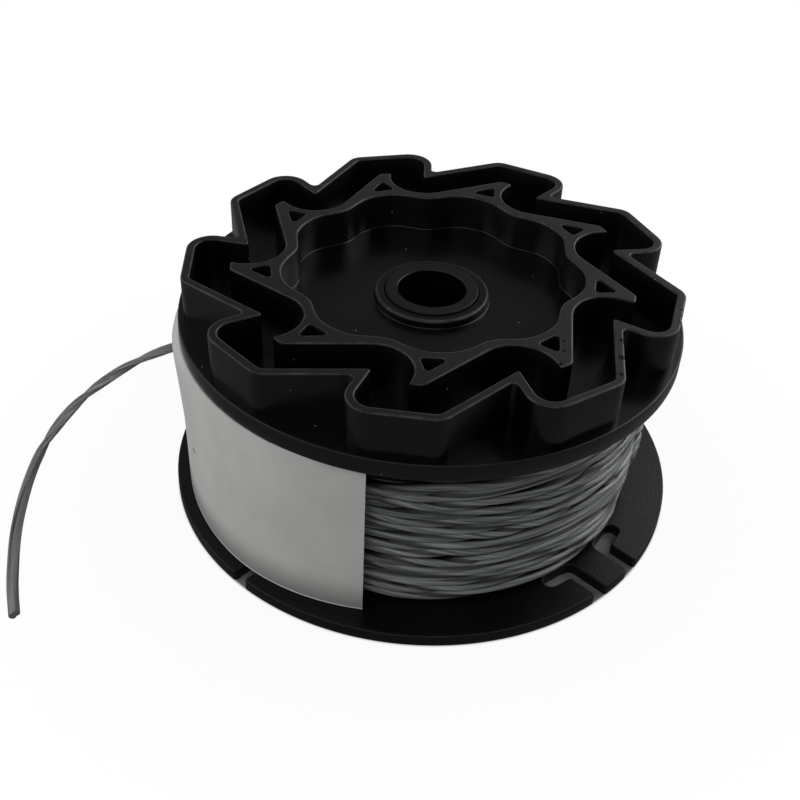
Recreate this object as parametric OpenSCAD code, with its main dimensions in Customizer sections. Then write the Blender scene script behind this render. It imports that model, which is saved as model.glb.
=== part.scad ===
// Refill spool of twisted nylon line for a grass trimmer.
// The spool axis is Z and the underside of the lower flange is z = 0. Angles are anticlockwise from +X.
// Two mouldings, the wound line with its free end, and a paper band round the line.

/* [Flanges and drum] */
// Radius of the upper flange
upper_flange_r = 36; // [35.8:0.1:38]
// Thickness of the upper flange
upper_flange_t = 2.5; // [2:0.1:4]
// Radius of the lower flange
lower_flange_r = 38.3; // [37.8:0.1:40]
// Thickness of the lower flange
lower_flange_t = 1.8; // [1.2:0.1:3]
// Clear width between the flanges
winding_width = 25.6; // [22:0.1:32]
// Radius of the winding drum
drum_r = 29; // [28.5:0.1:29.3]
// Wall of the winding drum
drum_wall = 1.8; // [1.2:0.1:2.6]
// Bevel on the rims of both flanges
rim_bevel = 0.3; // [0.1:0.05:0.6]

/* [Cam track] */
// Number of lobes round the track
lobes = 9; // [8:1:10]
// Angle of the first inward tip of the outer wall
track_angle = -104.6; // [-180:0.1:180]
// Height of the track walls above the flange
wall_h = 6.3; // [4:0.1:9]
// Thickness of the outer wall
wall_t = 1.25; // [1:0.05:1.4]
// Width of the channel between the walls
channel_w = 5.25; // [5:0.05:5.6]
// Distance from the flange's rim in to the tips of the outer wall
tip_inset = 9.4; // [9:0.1:9.6]
// Distance from the flange's rim in to the shoulder after each tip
shoulder_inset = 1.65; // [1.5:0.05:2]
// Angle of the shoulder from its tip
shoulder_turn = -0.9; // [-2:0.1:0.5]
// Distance from the flange's rim in to the corner before the next tip
corner_inset = 2.05; // [1.8:0.05:2.4]
// Angle of the corner from its tip
corner_turn = 17.9; // [17:0.1:19]
// Rounding of the shoulders inside the channel
shoulder_round = 2.35; // [1.5:0.05:2.6]
// Rounding of the corners inside the channel
corner_round = 1.5; // [0.5:0.05:1.7]
// Rounding at the foot of the notches between lobes
notch_round = 0.7; // [0.3:0.05:0.9]
// Rounding of the tips of the outer wall
tip_round = 0.35; // [0.1:0.05:0.5]
// Rounding of the hooked tips of the inner wall's teeth
tooth_tip_round = 0.3; // [0.1:0.05:0.4]
// Rounding of the heels of the inner wall's teeth
tooth_heel_round = 1; // [0.4:0.05:1.3]

/* [Pocket and boss] */
// Thickness of the inner wall where a tip of the outer wall faces it
inner_wall_t = 1.75; // [1.2:0.05:3]
// Height of the waves in the pocket's side
pocket_wave = 0.88; // [0.4:0.02:1]
// Angle of a wave's crest from the tip of the outer wall
wave_turn = 18.9; // [18:0.1:20]
// Height of the pocket floor above the flange
pocket_step = 0.7; // [0:0.1:1.5]
// Wall between the pocket and the core-out in each tooth
core_out_wall = 1.55; // [1.4:0.05:2]
// Half of the core-out's inner side, as an angle
core_out_half = 4.8; // [3:0.1:5]
// Length of a core-out, outward
core_out_len = 3; // [1.8:0.05:3.1]
// Depth of the core-outs
core_out_depth = 5; // [2:0.1:6]
// Rounding of the core-outs' corners
core_out_round = 0.45; // [0.1:0.05:0.5]
// Radius of the boss
boss_r = 8.2; // [7.6:0.1:10]
// Height of the boss above the pocket floor
boss_h = 1.25; // [0.8:0.05:3]

/* [Hub] */
// Radius of the spindle bore
bore_r = 4.92; // [4:0.02:5.2]
// Radius of the hub tube where it passes through the boss
hub_tip_r = 6.7; // [6:0.05:7]
// Radius of the hub tube below the boss
hub_r = 7.6; // [7.2:0.1:8.5]
// How far the hub tube stands proud of the boss
hub_proud = 0.3; // [0.2:0.05:1]
// How far the hub tube ends above the underside
hub_recess = 2; // [0:0.1:4]
// Lead-in at both ends of the bore
bore_lead = 0.12; // [0.05:0.01:0.6]
// Thickness of the web that closes the top of the drum
web_t = 1.8; // [1.2:0.1:3]
// Number of ribs under the web
ribs = 6; // [4:1:10]
// Thickness of a rib
rib_t = 1.4; // [1:0.1:2]
// Height of a rib
rib_h = 5; // [3:0.1:10]
// Depth of the seat that the drum enters in the cam plate
seat_depth = 0.8; // [0.4:0.1:1.2]
// Gap between the two mouldings where one enters the other
seat_gap = 0.05; // [0.02:0.01:0.12]

/* [Line catches in the lower flange] */
// Angle of the middle of the tab between the two hooked slots
catch_angle = -41; // [-60:0.5:-25]
// Width of the tab
tab_w = 5; // [4:0.1:6]
// Width of the hooked slots
hook_slot_w = 2.2; // [1.9:0.1:2.6]
// Distance from the drum to the inner side of the hooks
hook_reach = 2.7; // [2.2:0.1:3.2]
// How far each hook runs on from its slot, as an angle
hook_turn = 6.5; // [4:0.1:8]
// Angle of the plain slot
plain_slot_angle = -129; // [-150:0.5:-110]
// Width of the plain slots
plain_slot_w = 1.9; // [1.8:0.1:2.4]

/* [Line] */
// Diameter of the line
line_d = 1.65; // [1.3:0.05:1.75]
// Depth of line on the drum, to the middle of the outer turns
wound_depth = 2.6; // [2.5:0.05:3]
// Height from one turn of the outer layer to the next
turn_pitch = 2.25; // [2.2:0.05:3]
// Height over which each turn wanders to and fro
turn_wander = 0.35; // [0:0.05:0.5]

/* [Paper band] */
// Gap between the band and the upper flange
band_top_gap = 0.65; // [0.4:0.05:4]
// Thickness of the band
band_t = 0.2; // [0.15:0.05:0.4]
// Angle at which the band's front edge stands
band_front_angle = -100.8; // [-110:0.1:-95]
// Angle that the band covers
band_sweep = 275; // [240:1:285]
// Gap between band and line at the front edge
band_gap_front = 2.3; // [1:0.1:2.6]
// Widest gap between band and line
band_gap_wide = 4.1; // [2.8:0.1:4.2]
// Gap between band and line at the far edge
band_gap_far = 0.7; // [0.5:0.1:1.5]
// Angle from the front edge to the widest gap
band_wide_turn = 62; // [40:1:90]
// Lean of the band's far edge from upright
band_lean = 20; // [0:1:25]
// Rise of the band's lower edge over the leaving line
band_lift = 2; // [1.8:0.1:2.4]

/* [Hidden] */

arc_fn = 96;
clear = 0.1;
past = 1;

// Heights, from the table up
flange_under = lower_flange_t + winding_width;
flange_top = flange_under + upper_flange_t;
seat_top = flange_under + seat_depth;
pocket_floor = flange_top + pocket_step;
boss_top = pocket_floor + boss_h;
hub_top = boss_top + hub_proud;
wall_top = flange_top + wall_h;
drum_inner_r = drum_r - drum_wall;
hook_r = drum_r + hook_reach;

// Track and pocket, from the rim of the upper flange in to the axis
lobe_turn = 360 / lobes;
shoulder_r = upper_flange_r - shoulder_inset;
corner_r = upper_flange_r - corner_inset;
tip_r = upper_flange_r - tip_inset;
wave_sharpness = 0.14;
pocket_r = tip_r - channel_w - inner_wall_t + pocket_wave * (1 + wave_sharpness);
core_out_r = pocket_r + pocket_wave * (1 - wave_sharpness) + core_out_wall;
core_out_tip_r = core_out_r + core_out_len;
core_out_turn = wave_turn - 1.9;

// Line
line_r = line_d / 2;
winding_r = drum_r + wound_depth;
winding_outer_r = winding_r + line_r;
turn_rings = 24;
turn_sides = 6;
winding_end_angle = 80;
winding_end_z = lower_flange_t + line_r + clear;
turns = floor(2 * (winding_width - line_d - 2 * clear) / turn_pitch) / 2;
winding_rings = turns * turn_rings;
core_outer_r = winding_r * cos(180 / turn_rings) - line_r - clear;

function polar(r, a) = [r * cos(a), r * sin(a)];
function unit(v) = v / norm(v);
function smooth(t) = (1 - cos(180 * t)) / 2;

// ---------------------------------------------------------------- cam plate

// Sharp outline of the channel's outer side: tip, shoulder and corner of each lobe.
function track_points() = [
    for (k = [0:lobes - 1]) let (a = track_angle + k * lobe_turn)
        each [polar(tip_r, a), polar(shoulder_r, a + shoulder_turn), polar(corner_r, a + corner_turn)]
];

// Where the outline turns from its first side to its second, an arc of radius r takes the corner.
function rounded_corner(before, corner, after, r) =
    let (u = unit(before - corner), v = unit(after - corner),
         half = acos(u * v) / 2,
         centre = corner + unit(u + v) * r / sin(half),
         start = corner + u * r / tan(half) - centre,
         end = corner + v * r / tan(half) - centre,
         a0 = atan2(start[1], start[0]),
         turn = 180 - 2 * half,
         way = cross(start, end) > 0 ? 1 : -1)
    [for (i = [0:6]) centre + polar(r, a0 + way * turn * i / 6)];

// The outline with its tips, shoulders and corners rounded; a tip with no rounding stays one point.
function track_outline(tip, shoulder, corner) =
    let (p = track_points(), n = len(p), roundings = [tip, shoulder, corner])
    [for (i = [0:n - 1]) let (r = roundings[i % 3])
        each r == 0 ? [p[i]] : rounded_corner(p[(i + n - 1) % n], p[i], p[(i + 1) % n], r)];

module channel_outer_side() {
    polygon(track_outline(tip_round, shoulder_round, corner_round));
}

// The outer wall follows the channel, with its notches rounded at the foot.
module outer_wall_plan() {
    difference() {
        offset(r = -notch_round) offset(delta = notch_round) offset(r = wall_t, $fn = arc_fn / 2)
            channel_outer_side();
        channel_outer_side();
    }
}

// The inner wall's teeth keep the channel one width: round a tip of the outer wall that makes a scoop.
module inner_wall_side() {
    offset(r = -channel_w, $fn = arc_fn)
        polygon(track_outline(0, channel_w + tooth_tip_round, channel_w + tooth_heel_round));
}

function pocket_side_r(a) =
    let (w = lobes * (a - track_angle - wave_turn))
    pocket_r + pocket_wave * (cos(w) - wave_sharpness * cos(2 * w));

module pocket_side() {
    polygon([for (a = [0:2:358]) polar(pocket_side_r(a), a)]);
}

module core_out_plan(a) {
    middle = a + core_out_turn;
    offset(r = core_out_round, $fn = arc_fn / 4) offset(delta = -core_out_round)
        polygon([polar(core_out_r, middle - core_out_half), polar(core_out_r, middle + core_out_half),
                 polar(core_out_tip_r, middle - core_out_half / 2)]);
}

module inner_wall_plan() {
    difference() {
        inner_wall_side();
        pocket_side();
    }
}

// A disc with its outer rim bevelled at both edges.
module bevelled_disc(r, z0, z1) {
    rotate_extrude($fn = arc_fn)
        polygon([[0, z0], [r - rim_bevel, z0], [r, z0 + rim_bevel], [r, z1 - rim_bevel],
                 [r - rim_bevel, z1], [0, z1]]);
}

module cam_plate() {
    color([0.09, 0.09, 0.1])
    difference() {
        union() {
            bevelled_disc(upper_flange_r, flange_under, flange_top);
            translate([0, 0, flange_top - past]) {
                linear_extrude(wall_h + past) outer_wall_plan();
                linear_extrude(wall_h + past) inner_wall_plan();
                linear_extrude(pocket_step + past) pocket_side();
            }
            cylinder_between(boss_r, flange_top - past, boss_top);
        }
        cylinder_between(drum_r + seat_gap, flange_under - past, seat_top);
        cylinder_between(hub_tip_r + seat_gap, flange_under - past, wall_top);
        for (k = [0:lobes - 1])
            translate([0, 0, wall_top - core_out_depth])
                linear_extrude(core_out_depth + past) core_out_plan(track_angle + k * lobe_turn);
    }
}

module cylinder_between(r, z0, z1) {
    translate([0, 0, z0]) cylinder(r = r, h = z1 - z0, $fn = arc_fn);
}

// --------------------------------------------------------------- spool core

// A slot from the rim in to the hooks, its inner end round.
module slot_plan(w, inner_r) {
    translate([inner_r + w / 2, 0]) circle(d = w, $fn = arc_fn / 4);
    translate([inner_r + w / 2, -w / 2]) square([lower_flange_r - inner_r, w]);
}

// One hooked slot: way is 1 for the slot after the tab and -1 for the one before it.
module hooked_slot_plan(way) {
    hook_mid_r = hook_r + hook_slot_w / 2;
    offset_y = way * (tab_w + hook_slot_w) / 2;
    turn_0 = way * asin(abs(offset_y) / hook_mid_r);
    turn_1 = turn_0 + way * hook_turn;
    translate([0, offset_y]) slot_plan(hook_slot_w, hook_r);
    intersection() {
        difference() {
            circle(r = hook_r + hook_slot_w, $fn = arc_fn);
            circle(r = hook_r, $fn = arc_fn);
        }
        polygon([[0, 0], polar(2 * lower_flange_r, turn_0), polar(2 * lower_flange_r, turn_1)]);
    }
    translate(polar(hook_mid_r, turn_1)) circle(d = hook_slot_w, $fn = arc_fn / 4);
}

module catches_plan() {
    for (side = [0, 180]) {
        rotate(catch_angle + side) for (way = [-1, 1]) hooked_slot_plan(way);
        rotate(plain_slot_angle + side) slot_plan(plain_slot_w, winding_outer_r);
    }
}

module spool_core() {
    color([0.13, 0.13, 0.14])
    difference() {
        union() {
            difference() {
                union() {
                    bevelled_disc(lower_flange_r, 0, lower_flange_t);
                    cylinder_between(drum_r, 0, seat_top);
                }
                cylinder_between(drum_inner_r, -past, seat_top - web_t);
            }
            cylinder_between(hub_r, hub_recess, seat_top);
            cylinder_between(hub_tip_r, hub_recess, hub_top);
            for (k = [0:ribs - 1])
                rotate(k * 360 / ribs)
                    translate([bore_r + past, -rib_t / 2, seat_top - web_t - rib_h])
                        cube([drum_inner_r - bore_r, rib_t, rib_h + past / 2]);
        }
        rotate_extrude($fn = arc_fn)
            polygon([[0, hub_recess - past], [bore_r + bore_lead + past, hub_recess - past],
                     [bore_r, hub_recess + bore_lead], [bore_r, hub_top - bore_lead],
                     [bore_r + bore_lead + past, hub_top + past], [0, hub_top + past]]);
        translate([0, 0, -past]) linear_extrude(lower_flange_t + 2 * past) catches_plan();
    }
}

// --------------------------------------------------------------------- line

// Triangles of a tube with `rings` rings of `sides` points and a flat cap at each end.
function tube_faces(rings, sides) = concat(
    [for (i = [0:rings - 2], j = [0:sides - 1]) let (k = (j + 1) % sides)
        each [[i * sides + j, i * sides + k, (i + 1) * sides + k],
              [i * sides + j, (i + 1) * sides + k, (i + 1) * sides + j]]],
    [for (j = [1:sides - 2]) [0, j + 1, j]],
    [for (j = [1:sides - 2]) let (m = (rings - 1) * sides) [m, m + j, m + j + 1]]);

// Rings of a round tube along a path, square to the path at every point.
function tube_points(path, r, sides) =
    let (n = len(path))
    [for (i = [0:n - 1])
        let (t = unit(path[min(i + 1, n - 1)] - path[max(i - 1, 0)]),
             side = unit(cross([0, 0, 1], t)),
             up = cross(t, side))
        for (j = [0:sides - 1])
            path[i] + r * (cos(360 * (j + 0.5) / sides) * side + sin(360 * (j + 0.5) / sides) * up)];

// The outer turns run down the drum; every turn wanders alike, so that they stay clear of each other.
function winding_point(i) =
    let (left = (winding_rings - i) / turn_rings,
         a = winding_end_angle - 360 * left,
         fade = smooth(min(1, left)) * smooth(min(1, turns - left)))
    [each polar(winding_r, a), winding_end_z + turn_pitch * left + turn_wander * fade * sin(2 * a + 30) / 2];

// Both ends of the winding run straight for one diameter of the line.
function way_at(a) = [-sin(a), cos(a), 0];
winding_start = winding_point(0) - line_d * way_at(winding_end_angle - 360 * turns);
winding_end = winding_point(winding_rings) + line_d * way_at(winding_end_angle);
winding_path = [winding_start, for (i = [0:winding_rings]) winding_point(i), winding_end];
winding_gap = min([for (i = [0:winding_rings - turn_rings - 1], j = [-1:1])
    norm(winding_point(i + turn_rings + j) - winding_point(i))]) - line_d;
echo(least_gap_between_turns = winding_gap);

// Route of the free end: over the lower flange, down past its rim and round on the table in its own curl.
tail_lie = line_r + 0.03;
tail_on_flange = winding_end_z;
tail_route = [
    winding_end, winding_end + line_d * way_at(winding_end_angle),
    [-2, 32.4, tail_on_flange], [-6, 33, tail_on_flange], [-10, 33.4, tail_on_flange],
    [-14.2, 33.7, tail_on_flange], [-18.5, 33.8, tail_on_flange], [-22.8, 33.5, tail_on_flange - 0.3],
    [-27.2, 32.8, tail_on_flange - 1], [-31.4, 31.7, tail_on_flange - 1.5], [-35.6, 30.2, tail_lie],
    [-39.6, 28.4, tail_lie], [-43.3, 26.2, tail_lie], [-46.7, 23.7, tail_lie], [-49.7, 20.9, tail_lie],
    [-52.4, 17.6, tail_lie], [-54.7, 13.8, tail_lie], [-56.6, 9.9, tail_lie], [-58, 6, tail_lie],
    [-59, 1.8, tail_lie], [-59.6, -2.6, tail_lie], [-59.8, -7, tail_lie], [-59.6, -11.5, tail_lie],
    [-59.1, -16, tail_lie], [-58.4, -20.4, tail_lie], [-57.4, -25, tail_lie], [-56.1, -29.6, tail_lie],
    [-54.7, -34, tail_lie], [-52.9, -38.6, tail_lie]
];
tail_sides = 8;

module line_core() {
    color([0.36, 0.37, 0.38])
    rotate_extrude($fn = arc_fn)
        translate([drum_r + seat_gap, lower_flange_t + clear])
            square([core_outer_r - drum_r - seat_gap, winding_width - 2 * clear]);
}

module line_winding() {
    color([0.45, 0.47, 0.48])
    polyhedron(tube_points(winding_path, line_r, turn_sides), tube_faces(len(winding_path), turn_sides));
}

module line_tail() {
    color([0.38, 0.38, 0.38])
    polyhedron(tube_points(tail_route, line_r, tail_sides), tube_faces(len(tail_route), tail_sides));
}

// --------------------------------------------------------------------- band

// Gap between the line and the band, s degrees on from the band's front edge.
function band_gap(s) =
    let (closing = min(1, (s - band_wide_turn) / (band_sweep - band_wide_turn)))
    s < band_wide_turn
        ? band_gap_front + (band_gap_wide - band_gap_front) * sin(90 * s / band_wide_turn)
        : band_gap_wide + (band_gap_far - band_gap_wide) * smooth(closing);

module band_plan() {
    steps = 68;
    longest_sweep = band_sweep + asin(band_h / 2 * tan(band_lean) / winding_r);
    function inner(i) =
        let (s = longest_sweep * i / steps) [winding_outer_r + band_gap(s), band_front_angle - s];
    polygon(concat([for (i = [0:steps]) polar(inner(i)[0], inner(i)[1])],
                   [for (i = [steps:-1:0]) polar(inner(i)[0] + band_t, inner(i)[1])]));
}

band_low = lower_flange_t + 1.5 * clear;
band_h = winding_width - 1.5 * clear - band_top_gap;

module paper_band() {
    lift_angle = 109;
    lift_half_width = 16;
    lift_r = (pow(lift_half_width, 2) + pow(band_lift, 2)) / (2 * band_lift);
    color([0.93, 0.93, 0.92])
    difference() {
        translate([0, 0, band_low]) linear_extrude(band_h) band_plan();
        rotate(lift_angle) translate([winding_r, 0, band_low + band_lift - lift_r])
            rotate([0, 90, 0]) cylinder(r = lift_r, h = lower_flange_r - winding_r, $fn = 2 * arc_fn);
        rotate(band_front_angle - band_sweep) translate([0, 0, band_low + band_h / 2])
            rotate([band_lean, 0, 0]) translate([drum_r, -drum_r / 2, -band_h])
                cube([drum_r / 2, drum_r / 2, 2 * band_h]);
    }
}

cam_plate();
spool_core();
line_core();
line_winding();
line_tail();
paper_band();
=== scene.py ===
"""Dressed model of a refill spool of twisted nylon line for a grass trimmer.

Sizes are in millimetres and are turned to metres once, when a mesh is made. The spool's axis is Z, the
underside of the lower flange is z = 0, and bearings are degrees anticlockwise from +X.
"""

import logging
import math
from abc import ABC, abstractmethod
from dataclasses import dataclass, replace
from enum import Enum
from functools import partial

import bmesh
import bpy
from bpy.types import Material, Mesh, Node, NodeSocket, NodeTree, Object, World
from mathutils import Matrix, Vector, geometry, noise


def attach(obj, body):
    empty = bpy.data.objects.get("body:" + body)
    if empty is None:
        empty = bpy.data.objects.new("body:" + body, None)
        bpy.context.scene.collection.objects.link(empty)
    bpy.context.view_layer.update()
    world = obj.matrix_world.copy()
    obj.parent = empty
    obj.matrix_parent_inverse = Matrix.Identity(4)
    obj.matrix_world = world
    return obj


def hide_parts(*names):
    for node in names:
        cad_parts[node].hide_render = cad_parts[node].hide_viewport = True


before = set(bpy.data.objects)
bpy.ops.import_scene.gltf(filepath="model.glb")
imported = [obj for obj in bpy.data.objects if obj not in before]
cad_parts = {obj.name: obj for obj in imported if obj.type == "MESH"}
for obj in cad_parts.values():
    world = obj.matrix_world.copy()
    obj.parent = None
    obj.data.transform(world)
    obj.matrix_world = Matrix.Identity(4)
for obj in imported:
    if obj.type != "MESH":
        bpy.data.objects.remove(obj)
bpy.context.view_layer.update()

log = logging.getLogger("spool")

MM = 0.001
ROOT = "root"
SHARP_DEGREES = 38
LINE_SHARP_DEGREES = 60
EDGE_STEPS = 3
# Beyond a rounded edge and a fillet, a narrow rim of the flat keeps its own light.
TOP_RIM = 0.06
FOOT_RIM = 0.04
WALL_WEAR = 0.3
ENDLESS_MM = 1e5
MAIN_SETTINGS = {"Math": "operation", "VectorMath": "operation", "MapRange": "interpolation_type",
                 "Mix": "data_type"}

Pair = tuple[float, float]
Triple = tuple[float, float, float]
Spot = tuple[float, float, float, float]
Section = list[tuple[float, ...]]
Ring = list[bmesh.types.BMVert]

# The part of its range that a noise really fills, and the specular level of a skin that is nicked or in painted
# shade, and of a clear one.
NOISE_SPAN: Pair = (0.3, 0.7)
SPECULAR: Pair = (0.1, 0.5)


# ---- helpers


def polar(radius: float, bearing: float) -> Vector:
    """Returns the plan point at this radius and bearing in degrees."""
    turn = math.radians(bearing)
    return Vector((radius * math.cos(turn), radius * math.sin(turn)))


def raised(radius: float, bearing: float, z: float) -> Vector:
    """Returns the point at this radius, bearing and height."""
    return Vector((*polar(radius, bearing), z))


def smooth(value: float, start: float, end: float) -> float:
    """Returns 0 at the start and 1 at the end, eased at both, and held beyond them."""
    held = min(1.0, max(0.0, (value - start) / (end - start)))
    return (1 - math.cos(math.pi * held)) / 2


def swell(value: float, steps: Spot) -> float:
    """Returns a share that grows to 1 over the first two steps and fades to 0 over the last two."""
    grow, full, fade, gone = steps
    return smooth(value, grow, full) * smooth(value, gone, fade)


def metres(sizes: Pair) -> list[float]:
    """Returns these millimetres in metres."""
    return [size * MM for size in sizes]


def linear(colour: str) -> Spot:
    """Turns an sRGB hex colour into the linear values that a shader takes.

    Args:
        colour: Six hex digits after a hash.

    Returns:
        Red, green and blue in linear light, and an alpha of 1.
    """
    parts = (int(colour[i : i + 2], 16) / 255 for i in (1, 3, 5))
    made = [p / 12.92 if p <= 0.04045 else ((p + 0.055) / 1.055) ** 2.4 for p in parts]
    return made[0], made[1], made[2], 1.0


def node(tree: NodeTree, kind: str, *given: object, named: dict | None = None, **settings: object) -> Node:
    """Adds a node with its settings and inputs.

    Args:
        tree: The shader or geometry tree.
        kind: The node's Blender type, which may leave out a leading ShaderNode, and may name its main setting.
        given: Its inputs in order, each a value, a hex colour, or the socket or node that feeds it.
        named: More inputs, by name.
        settings: The node's properties.

    Returns:
        The new node.
    """
    kind, *main = kind.split()
    made = tree.nodes.new(kind if "Node" in kind else "ShaderNode" + kind)
    for name, value in [*zip([MAIN_SETTINGS.get(kind)], main), *settings.items()]:
        setattr(made, name, value)
    inputs = list(zip([socket for socket in made.inputs if socket.enabled], given))
    for socket, value in inputs + [(made.inputs[name], value) for name, value in (named or {}).items()]:
        if isinstance(value, Node):
            value = next(output for output in value.outputs if output.enabled)
        if isinstance(value, NodeSocket):
            tree.links.new(value, socket)
        else:
            socket.default_value = linear(value) if str(value).startswith("#") else value
    return made


def cleared(owner: Material | World) -> NodeTree:
    """Empties a material's or a world's node tree.

    Args:
        owner: The material or world.

    Returns:
        Its tree.
    """
    owner.use_nodes = True
    owner.node_tree.nodes.clear()
    return owner.node_tree


def spots(tree: NodeTree, places: tuple[Spot, ...], ragged: Node) -> Node | float:
    """Adds a mask of a few small spots.

    Args:
        tree: The material's tree.
        places: Each spot's place and radius.
        ragged: Noise that makes their outlines ragged.

    Returns:
        1 inside a spot and 0 elsewhere.
    """
    add = partial(node, tree)
    at = add("TexCoord").outputs["Object"]
    found = 0.0
    for *centre, radius in places:
        away = add("VectorMath DISTANCE", at, Vector(centre) * MM)
        reach = add("Math MULTIPLY", ragged, 2 * radius * MM)
        inside = add("Math LESS_THAN", away, reach)
        found = add("Math MAXIMUM", found, inside)
    return found


def shade(mesh: Mesh, sharp_degrees: float) -> None:
    """Smooths a mesh but for the edges that turn by more than this."""
    mesh.shade_smooth()
    mesh.set_sharp_from_angle(angle=math.radians(sharp_degrees))


def closed(name: str, built: bmesh.types.BMesh) -> Mesh:
    """Turns a closed shell's faces outwards and gives it its size in metres.

    Args:
        name: The mesh's name.
        built: The shell in millimetres, which is freed.

    Returns:
        The finished mesh, smooth but for its sharp edges.
    """
    bmesh.ops.recalc_face_normals(built, faces=built.faces)
    bmesh.ops.scale(built, vec=(MM, MM, MM), verts=built.verts)
    made = bpy.data.meshes.new(name)
    built.to_mesh(made)
    built.free()
    shade(made, SHARP_DEGREES)
    return made


def place(name: str, mesh: Mesh, finish: Material) -> Object:
    """Links a finished mesh, given in metres, as an object at the origin.

    Args:
        name: The piece's name.
        mesh: Its mesh.
        finish: Its one finish.

    Returns:
        The new object.
    """
    mesh.materials.clear()
    mesh.materials.append(finish)
    piece = bpy.data.objects.new(name, mesh)
    bpy.context.scene.collection.objects.link(piece)
    return piece


def settle(piece: Object, solid: str = "") -> Object:
    """Fixes a piece to the spool's one body and logs it.

    Args:
        piece: The finished piece.
        solid: The plain solid that it stands for, if there is one.

    Returns:
        The same piece.
    """
    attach(piece, ROOT)
    if solid:
        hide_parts(solid)
    log.info("%s: %d faces", piece.name, len(piece.data.polygons))
    return piece


def new_tree(name: str, sizes: dict[str, float | int]) -> tuple[NodeTree, dict[str, float | int]]:
    """Starts a geometry tree that takes a mesh, Start, and named sizes.

    Args:
        name: The tree's name.
        sizes: The sizes by name.

    Returns:
        The tree, and the sizes by their sockets' identifiers.
    """
    tree = bpy.data.node_groups.new(name, "GeometryNodeTree")
    for label, way in (("Start", "INPUT"), ("Made", "OUTPUT")):
        tree.interface.new_socket(label, in_out=way, socket_type="NodeSocketGeometry")
    values = {}
    for label, value in sizes.items():
        kind = "NodeSocketInt" if isinstance(value, int) else "NodeSocketFloat"
        values[tree.interface.new_socket(label, in_out="INPUT", socket_type=kind).identifier] = value
    return tree, values


def grown(name: str, base: Mesh, tree: NodeTree, values: dict, last: Node, finish: Material) -> Object:
    """Ends a geometry tree, runs it over a mesh and keeps the result as a plain piece.

    Args:
        name: The piece's name.
        base: The mesh that the tree starts from.
        tree: The geometry tree.
        values: Its sizes by their sockets' identifiers.
        last: The tree's last node so far.
        finish: The piece's finish.

    Returns:
        The plain piece.
    """
    real = node(tree, "GeometryNodeRealizeInstances", last)
    node(tree, "NodeGroupOutput", node(tree, "GeometryNodeSetMaterial", real, named={"Material": finish}))
    start = bpy.data.objects.new(name + "_base", base)
    bpy.context.scene.collection.objects.link(start)
    modifier = start.modifiers.new("build", "NODES")
    modifier.node_group = tree
    for identifier, value in values.items():
        modifier[identifier] = value
    bpy.context.view_layer.update()
    evaluated = start.evaluated_get(bpy.context.evaluated_depsgraph_get())
    made = bpy.data.meshes.new_from_object(evaluated)
    bpy.data.objects.remove(start)
    made.name = name
    return place(name, made, finish)


# ---- finishes


@dataclass(frozen=True)
class Finish(ABC):
    """A material that starts from a real one."""

    name: str
    colour: str

    @abstractmethod
    def surface(self, tree: NodeTree) -> dict[str, object]:
        """Adds the finish's own nodes, and returns the shader's inputs by name."""

    def material(self) -> Material:
        """Makes the material, with its shader and output in place.

        Returns:
            The new material.
        """
        made = bpy.data.materials.new(self.name)
        tree = cleared(made)
        node(tree, "OutputMaterial", node(tree, "BsdfPrincipled", self.colour, named=self.surface(tree)))
        return made


@dataclass(frozen=True)
class MouldedNylon(Finish):
    """Injection-moulded black nylon: a hard skin, with the tool's own gloss or fine grain and some dust.

    Where the mesh's wear attribute is 1, on the edges of the upper faces, the skin is painted grey, partly
    as wear and partly as a painted highlight of the rounded edge. Where it is a half, on those faces themselves, it
    is only duller.
    """

    roughness: float
    grain_mm: float
    grain_depth_mm: float
    dust_mm: float = 3.2
    dust_size: float = 0.045
    dust_colour: str = "#8c8f90"
    mottle_mm: float = 9.0
    mottle: float = 0.06
    worn_roughness: float = 0.22
    # The edges' grey, in patches: partly wear and partly a painted highlight.
    worn_highlight_colour: str = "#3a3c3c"
    patch_mm: float = 2.2
    worn_highlight_spread: Spot = (0.4, 0.62, 0.15, 1.0)
    nicks: tuple[Spot, ...] = ()
    ior: float = 1.42

    def surface(self, tree: NodeTree) -> dict[str, object]:
        """Adds the grain, the uneven gloss, the grey edges that are part wear and part painted highlight, the specks
        of dust and the nicks.

        Args:
            tree: The material's tree.

        Returns:
            The shader's inputs by name.
        """
        add = partial(node, tree)
        at = add("TexCoord").outputs["Object"]
        # Each noise takes its place, its scale, its detail and the finer detail's share.
        grain = add("TexNoise", at, 1 / (self.grain_mm * MM), 3.0, 0.6)
        uneven = add("TexNoise", at, 1 / (self.mottle_mm * MM), 4.0)
        patches = add("TexNoise", at, 1 / (self.patch_mm * MM), 6.0, 0.7)
        wear_and_highlight = add("Attribute", attribute_name="wear_and_highlight").outputs["Fac"]
        gloss = add("MapRange", uneven, *NOISE_SPAN, self.roughness - self.mottle, self.roughness + self.mottle)
        duller = add("MapRange", wear_and_highlight, 0.0, 0.5, 0.0, self.worn_roughness)
        # The grey on the edges stands partly for wear and partly for a painted highlight.
        edge = add("MapRange SMOOTHSTEP", wear_and_highlight, 0.5, 1.0)
        patchy = add("MapRange", patches, *self.worn_highlight_spread)
        rubbed_highlight = add("Math MULTIPLY", edge, patchy)
        skin = add("Mix RGBA", rubbed_highlight, self.colour, self.worn_highlight_colour)
        specks = add("TexVoronoi", at, 1 / (self.dust_mm * MM)).outputs
        size = add("Math MULTIPLY", add("SeparateColor", specks["Color"]), self.dust_size)
        dust = add("Math LESS_THAN", specks["Distance"], size)
        made = {"Base Color": add("Mix RGBA", dust, skin, self.dust_colour),
                "Roughness": add("Math ADD", gloss, duller),
                "Normal": add("Bump", named={"Height": grain, "Distance": self.grain_depth_mm * MM}),
                "IOR": self.ior}
        if self.nicks:
            nick = spots(tree, self.nicks, patches)
            made["Base Color"] = add("Mix RGBA", nick, made["Base Color"], "#000000")
            made["Specular IOR Level"] = add("MapRange", nick, 0.0, 1.0, *reversed(SPECULAR))
        return made


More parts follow.
